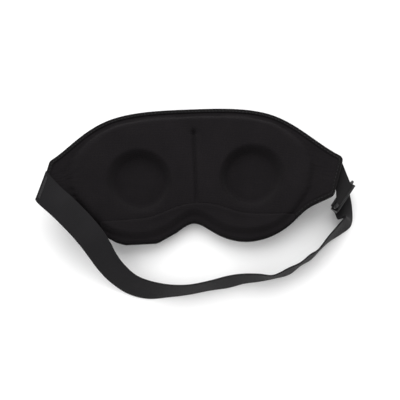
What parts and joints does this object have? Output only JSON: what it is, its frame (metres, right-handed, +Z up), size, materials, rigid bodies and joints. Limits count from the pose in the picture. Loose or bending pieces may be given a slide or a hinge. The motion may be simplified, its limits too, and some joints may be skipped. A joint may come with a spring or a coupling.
{
  "type": "sleep eye mask",
  "caption": "Contoured sleep mask with recessed eye cups, a lifting nose flap, an elastic head strap and a sliding strap adjuster.",
  "frame": {"origin": "middle of the footprint on the table that the mask lies on, outer face down", "axes": "+X towards the wearer's right, +Y towards the forehead, +Z up, out of the face side"},
  "size_m": [0.2364, 0.1434, 0.0429],
  "materials": {
    "cover_knit": "smooth black polyester knit, laminated to foam and heat moulded",
    "lining_knit": "soft brushed black knit",
    "foam": "black polyurethane foam",
    "binding_tape": "black knit tape, sewn",
    "elastic": "ribbed woven elastic",
    "webbing": "plain woven tape",
    "thread": "black polyester thread",
    "plastic": "moulded black acetal, satin"
  },
  "bodies": {
    "mask": {"outer_cover": "cover_knit", "shell_foam": "foam", "face_pad": "foam", "face_lining": "lining_knit", "rim_binding": "binding_tape", "nose_flap_base": "lining_knit", "strap": "elastic", "strap_tack": "thread", "ring_loop": "webbing", "loop_tack": "thread"},
    "nose_flap": {"nose_flap_lip": "lining_knit"},
    "buckle": {"ring": "plastic", "strap_end_loop": "elastic"},
    "adjuster": {"slider": "plastic", "strap_hem": "elastic", "hem_tack": "thread"}
  },
  "joints": [
    {"name": "nose_flap_lift", "type": "hinge", "parent": "mask", "child": "nose_flap", "pos_m": [-0.00139, -0.01591, 0.02125], "axis": [1, 0, 0], "range_deg": [0, 45], "stiffness_Nm_per_rad": 0.01},
    {"name": "buckle_swing", "type": "hinge", "parent": "mask", "child": "buckle", "pos_m": [0.10781, -0.00231, 0.0266], "axis": [-0.6, -0.8, 0], "range_deg": [-25, 12]},
    {"name": "slider_slide", "type": "slide", "parent": "buckle", "child": "adjuster", "axis": [0, 0, -1], "range_m": [0, 0.005]}
  ]
}
